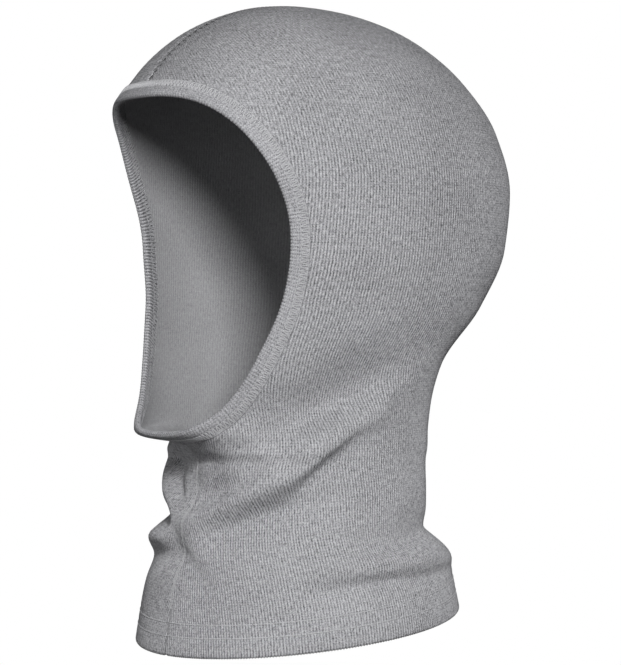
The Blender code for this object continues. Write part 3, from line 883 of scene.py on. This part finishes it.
def hem_path(height, count):
    """Points and outward normals evenly round the hem at a height above its edge."""
    angle = np.radians(np.linspace(-180, 180, 2881))[:-1]
    depth = hem_depth(angle) - height
    points = surface(angle, depth)
    closed = np.concatenate([points, points[:1]])
    travel = distance_along(closed)
    wanted = np.arange(count) / count * travel[-1]
    place = np.stack([np.interp(wanted, travel, closed[:, k]) for k in range(3)], axis=-1)
    frames = plan_frame(to_plan(angle, depth))[2]
    frames = np.concatenate([frames, frames[:1]])
    normal = np.stack([np.interp(wanted, travel, frames[:, k]) for k in range(3)], axis=-1)
    return place, unit(normal)


def make_hem_threads(material):
    """Two needle rows round the hem, and the looper thread between them inside."""
    count = HEM_STITCHES * HEM_SAMPLES
    made = []
    for row, height in zip(("lower", "upper"), HEM_STITCH_ROWS):
        point, normal = hem_path(height, count)
        lift = running_stitch(count, HEM_SAMPLES, 0.12, 0.75)
        path = point + normal * lift[:, None]
        threads = [(*tube(path, normal, HEM_THREAD, True), True)]
        made.append(thread_mesh("hem_" + row + "_needle_stitch", threads, material))
    low, low_normal = hem_path(HEM_STITCH_ROWS[0] - 0.6, count)
    high, high_normal = hem_path(HEM_STITCH_ROWS[1] + 0.6, count)
    swing = np.abs((np.arange(count) / HEM_SAMPLES % 1) * 2 - 1)[:, None]
    normal = unit(low_normal * (1 - swing) + high_normal * swing)
    path = low * (1 - swing) + high * swing - normal * (HEM_FABRIC + 0.42)
    threads = [(*tube(path, normal, HEM_LOOPER_THREAD, True), True)]
    for point, out in ((low, low_normal), (high, high_normal)):
        lift = running_stitch(count, HEM_SAMPLES, HEM_FABRIC + 0.4, 0.4)
        rail = point - out * lift[:, None]
        threads.append((*tube(rail, out, HEM_LOOPER_THREAD, True), True))
    made.append(thread_mesh("hem_looper_stitch", threads, material))
    return made


def maths(tree, operation, first, second=0.0, third=0.0):
    """A Math node; each input is a number or a socket."""
    made = tree.nodes.new("ShaderNodeMath")
    made.operation = operation
    for slot, value in enumerate((first, second, third)):
        if isinstance(value, bpy.types.NodeSocket):
            tree.links.new(value, made.inputs[slot])
        else:
            made.inputs[slot].default_value = value
    return made.outputs[0]


def crest(tree, phase):
    """Cosine of a phase in radians, moved to run from 0 to 1."""
    return maths(tree, "MULTIPLY_ADD", maths(tree, "COSINE", phase), 0.5, 0.5)


def mix_in(tree, value, share, part):
    """A value plus its share of another that runs from 0 to 1 round a half."""
    return maths(tree, "MULTIPLY_ADD", maths(tree, "SUBTRACT", part, 0.5), share, value)


def blend(tree, value, start, end, low, high, kind="SMOOTHSTEP"):
    """Value that goes from low to high while another goes from start to end."""
    made = tree.nodes.new("ShaderNodeMapRange")
    made.interpolation_type = kind
    made.inputs["From Min"].default_value = start
    made.inputs["From Max"].default_value = end
    made.inputs["To Min"].default_value = low
    made.inputs["To Max"].default_value = high
    tree.links.new(value, made.inputs["Value"])
    return made.outputs[0]


def axes(tree, vector):
    """The three numbers of a vector socket."""
    split = tree.nodes.new("ShaderNodeSeparateXYZ")
    tree.links.new(vector, split.inputs[0])
    return split.outputs


def cloth_material(name, roughness, specular, sheen):
    """A new material, with its Principled shader and the two numbers of the Knit UV map."""
    material = bpy.data.materials.new(name)
    material.use_nodes = True
    tree = material.node_tree
    shader = tree.nodes["Principled BSDF"]
    shader.inputs["Roughness"].default_value = roughness
    shader.inputs["Specular IOR Level"].default_value = specular
    shader.inputs["Sheen Weight"].default_value = sheen
    uv = tree.nodes.new("ShaderNodeUVMap")
    uv.uv_map = "Knit"
    across, along = axes(tree, uv.outputs[0])[:2]
    return material, shader, across, along


def colour(tree, shader, value, dark, light, margin=0.0):
    """Base colour that goes from dark to light as a value goes from 0 to 1."""
    ramp = tree.nodes.new("ShaderNodeValToRGB")
    ramp.color_ramp.elements[0].position = margin
    ramp.color_ramp.elements[0].color = (*dark, 1.0)
    ramp.color_ramp.elements[1].position = 1.0 - margin
    ramp.color_ramp.elements[1].color = (*light, 1.0)
    tree.links.new(value, ramp.inputs[0])
    tree.links.new(ramp.outputs[0], shader.inputs["Base Color"])


def relief(tree, shader, height, strength, distance):
    """Bumps of a height given from 0 to 1 and a distance in millimetres."""
    raised = tree.nodes.new("ShaderNodeBump")
    raised.inputs["Strength"].default_value = strength
    raised.inputs["Distance"].default_value = distance * MM
    tree.links.new(height, raised.inputs["Height"])
    tree.links.new(raised.outputs[0], shader.inputs["Normal"])


def knit_material(name, dark, light, painted_rib_shade, streak, fibre, course, bump, lift, seed,
                  outer_leg=0.0):
    """Melange rib knit. The Knit UV map holds the rib number and millimetres along it.

    The painted shade in the rib valleys is only a third as strong over the first outer_leg
    millimetres.
    """
    material, shader, rib, along = cloth_material(name, 0.92, 0.12, 0.0)
    tree = material.node_tree
    ribs = crest(tree, maths(tree, "MULTIPLY", rib, 2 * math.pi))
    from_middle = maths(tree, "FRACT", maths(tree, "ADD", rib, 0.5))
    from_middle = maths(tree, "ABSOLUTE", maths(tree, "SUBTRACT", from_middle, 0.5))
    slant = maths(tree, "MULTIPLY", from_middle, 7.0)
    loops = crest(tree, maths(tree, "MULTIPLY_ADD", along, 2 * math.pi / course, slant))

    def noise(rib_scale, along_scale, shift, detail, rough):
        stretched = tree.nodes.new("ShaderNodeCombineXYZ")
        tree.links.new(maths(tree, "MULTIPLY", rib, rib_scale), stretched.inputs[0])
        tree.links.new(maths(tree, "MULTIPLY", along, along_scale), stretched.inputs[1])
        stretched.inputs[2].default_value = seed + shift
        texture = tree.nodes.new("ShaderNodeTexNoise")
        texture.inputs["Scale"].default_value = 1.0
        texture.inputs["Detail"].default_value = detail
        texture.inputs["Roughness"].default_value = rough
        tree.links.new(stretched.outputs[0], texture.inputs["Vector"])
        return texture.outputs["Fac"]

    streaks = noise(1.9, 0.4, 0.0, 2.0, 0.6)
    fibres = noise(2.6, 1.3, 11.0, 3.0, 0.7)
    patches = noise(0.05, 0.03, 23.0, 1.0, 0.5)
    value = mix_in(tree, 0.5, streak, streaks)
    value = mix_in(tree, value, fibre, fibres)
    place = tree.nodes.new("ShaderNodeTexCoord")
    height = axes(tree, place.outputs["Object"])[2]
    top, full = CROWN_FADE
    share = blend(tree, height, -top * MM, -full * MM, CROWN_RIB_SHARE, 1.0)
    ribbing = maths(tree, "MULTIPLY", maths(tree, "SUBTRACT", ribs, 0.5), share)
    if outer_leg:
        bent = blend(tree, along, outer_leg, outer_leg + 3.0, 0.33, 1.0)
        ribbing = maths(tree, "MULTIPLY", ribbing, bent)
    # Painted shade: the valleys between the ribs are coloured darker, and the dips between the
    # loops a third as much.
    value = maths(tree, "MULTIPLY_ADD", ribbing, painted_rib_shade, value)
    value = mix_in(tree, value, painted_rib_shade * 0.35, loops)
    # Painted light: with lift below nought the colour grows lighter the lower the point sits on
    # the hood, standing in for the lamps lighting the hem more than the crown.
    value = maths(tree, "MULTIPLY_ADD", height, lift, value)
    value = mix_in(tree, value, 0.16, patches)
    colour(tree, shader, value, dark, light, 0.08)
    fuzz = maths(tree, "MULTIPLY", fibres, 0.9)
    relief(tree, shader, maths(tree, "MULTIPLY_ADD", loops, 0.5, fuzz), bump, 0.25)
    return material


def thread_material(name, dark, light):
    """Twisted sewing thread; the Knit UV map runs round it and along it."""
    material, shader, around, along = cloth_material(name, 0.7, 0.25, 0.1)
    tree = material.node_tree
    twist = maths(tree, "MULTIPLY_ADD", along, 2.4, maths(tree, "MULTIPLY", around, 2.0))
    plies = crest(tree, maths(tree, "MULTIPLY", twist, 2 * math.pi))
    colour(tree, shader, plies, dark, light)
    relief(tree, shader, plies, 0.5, 0.1)
    return material


def hand_over(piece, slot, *nodes):
    """Hide the CAD nodes a piece stands in for, and attach the piece to the root body; slot is not
    used.
    """
    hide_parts(*nodes)
    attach(piece, "root")


def build():
    """All the pieces of the balaclava."""
    # Painted light: the outer knit's lift makes its colour lighter towards the hem.
    knit = knit_material(
        "rib_knit", (0.06, 0.06, 0.064), (0.52, 0.52, 0.54),
        painted_rib_shade=0.34, streak=1.1, fibre=1.5, course=1.25, bump=0.5, lift=-0.3, seed=3.0,
    )
    inside = knit_material(
        "rib_knit_reverse", (0.17, 0.17, 0.177), (0.55, 0.55, 0.565),
        painted_rib_shade=0.12, streak=0.6, fibre=0.8, course=1.25, bump=0.3, lift=0.0, seed=7.0,
    )
    strip = knit_material(
        "binding_rib", (0.08, 0.08, 0.086), (0.55, 0.55, 0.57),
        painted_rib_shade=0.5, streak=0.7, fibre=1.3, course=1.1, bump=0.4, lift=0.0, seed=13.0,
        outer_leg=BINDING_OUTER_LEG,
    )
    thread = thread_material("sewing_thread", (0.26, 0.26, 0.27), (0.66, 0.66, 0.68))
    dark_thread = thread_material("seam_thread", (0.08, 0.08, 0.084), (0.30, 0.30, 0.31))
    left = make_panel("left_panel_knit", 1, [knit, inside])
    right = make_panel("right_panel_knit", -1, [knit, inside])
    hand_over(left, "knit", "left_panel")
    hand_over(right, "knit", "right_panel")
    binding = make_binding(strip)
    hand_over(binding, "binding_rib", "face_binding")
    cover, looper = make_binding_threads(thread)
    hand_over(cover, "thread", "binding_needle_thread")
    hand_over(looper, "thread", "binding_looper_thread")
    hem = make_hem_threads(thread)
    hem_nodes = ("hem_lower_needle_thread", "hem_upper_needle_thread", "hem_looper_thread")
    for piece, cad_node in zip(hem, hem_nodes):
        hand_over(piece, "thread", cad_node)
    behind = seam_line(0.0, hem_end(math.pi), False)
    brow = seam_line(0.0, BROW_SEAM_END, True)
    crown = tuple(np.concatenate([a[::-1], b[1:]]) for a, b in zip(brow, behind))
    neck = seam_line(NECK_SEAM_START, hem_end(0.0), True)
    seams = (("crown_seam", crown, dark_thread), ("neck_seam", neck, thread))
    for prefix, line, material in seams:
        needle, allowance, overlock = make_seam(prefix, line, material, inside)
        hand_over(needle, "thread", prefix + "_needle_thread")
        hand_over(allowance, "knit", prefix + "_overlock_thread")
        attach(overlock, "root")


def hem_end(angle):
    """Depth at which a seam's thread ends, just above the turned-up hem."""
    return float(hem_depth(np.array([angle]))[0]) - HEM_HEIGHT - SEAM_END_ABOVE_HEM


def direction(azimuth, elevation):
    """Unit vector towards a viewer at an azimuth from the face, towards the wearer's left."""
    turn = math.radians(azimuth)
    rise = math.radians(elevation)
    level = math.cos(rise)
    return Vector((math.sin(turn) * level, -math.cos(turn) * level, math.sin(rise)))


def area_light(name, place, size, power):
    """Round lamp aimed at the part."""
    data = bpy.data.lights.new(name, "AREA")
    data.shape = "DISK"
    data.size = size
    data.energy = power
    lamp = bpy.data.objects.new(name, data)
    lamp.location = place
    lamp.rotation_mode = "QUATERNION"
    lamp.rotation_quaternion = (Vector(LAMP_AIM) - Vector(place)).to_track_quat("-Z", "Y")
    bpy.context.scene.collection.objects.link(lamp)


def make_floor():
    """White floor that glows, so that no shadow falls on it."""
    mesh = bpy.data.meshes.new("floor")
    corners = ((-1, -1), (1, -1), (1, 1), (-1, 1))
    points = [(x * FLOOR_REACH, y * FLOOR_REACH, FLOOR_HEIGHT) for x, y in corners]
    mesh.from_pydata(points, [], [(0, 1, 2, 3)])
    floor = bpy.data.objects.new("floor", mesh)
    bpy.context.scene.collection.objects.link(floor)
    pale = bpy.data.materials.new("floor_white")
    pale.use_nodes = True
    shader = pale.node_tree.nodes["Principled BSDF"]
    shader.inputs["Base Color"].default_value = (0.0, 0.0, 0.0, 1.0)
    shader.inputs["Emission Color"].default_value = (1.0, 1.0, 1.0, 1.0)
    shader.inputs["Emission Strength"].default_value = 1.0
    shader.inputs["Specular IOR Level"].default_value = 0.0
    mesh.materials.append(pale)
    floor.visible_diffuse = False
    floor.visible_glossy = False
    floor.visible_shadow = False


def make_surroundings():
    """White behind the part, and a dim glow on it that is brighter from above."""
    world = bpy.data.worlds.new("studio")
    bpy.context.scene.world = world
    world.use_nodes = True
    tree = world.node_tree
    glow = tree.nodes["Background"]
    glow.inputs["Color"].default_value = (1.0, 1.0, 1.0, 1.0)
    coords = tree.nodes.new("ShaderNodeTexCoord")
    height = axes(tree, coords.outputs["Generated"])[2]
    strength = blend(tree, height, -0.6, 0.6, GLOW_BELOW, GLOW_ABOVE, "LINEAR")
    tree.links.new(strength, glow.inputs["Strength"])
    white = tree.nodes.new("ShaderNodeBackground")
    white.inputs["Strength"].default_value = 1.0
    white.inputs["Color"].default_value = (1.0, 1.0, 1.0, 1.0)
    path = tree.nodes.new("ShaderNodeLightPath")
    mix = tree.nodes.new("ShaderNodeMixShader")
    tree.links.new(path.outputs["Is Camera Ray"], mix.inputs[0])
    tree.links.new(glow.outputs[0], mix.inputs[1])
    tree.links.new(white.outputs[0], mix.inputs[2])
    tree.links.new(mix.outputs[0], tree.nodes["World Output"].inputs["Surface"])


def make_stage():
    """Floor, surroundings, a key lamp from the front left, a fill lamp and the camera."""
    scene = bpy.context.scene
    scene.view_settings.view_transform = "Standard"
    make_floor()
    make_surroundings()
    key = Vector(LAMP_AIM) + direction(KEY_AZIMUTH, KEY_ELEVATION) * KEY_DISTANCE
    area_light("key", key, KEY_SIZE, KEY_POWER)
    area_light("fill", FILL_PLACE, FILL_SIZE, FILL_POWER)
    camera_data = bpy.data.cameras.new("camera")
    camera = bpy.data.objects.new("camera", camera_data)
    scene.collection.objects.link(camera)
    scene.camera = camera
    back_off = direction(CAMERA_AZIMUTH, 0.0) * CAMERA_DISTANCE
    camera.location = Vector(TARGET) + back_off
    camera.rotation_mode = "QUATERNION"
    camera.rotation_quaternion = (-back_off).to_track_quat("-Z", "Y")
    camera_data.sensor_width = 36.0
    camera_data.lens = CAMERA_LENS


build()
make_stage()
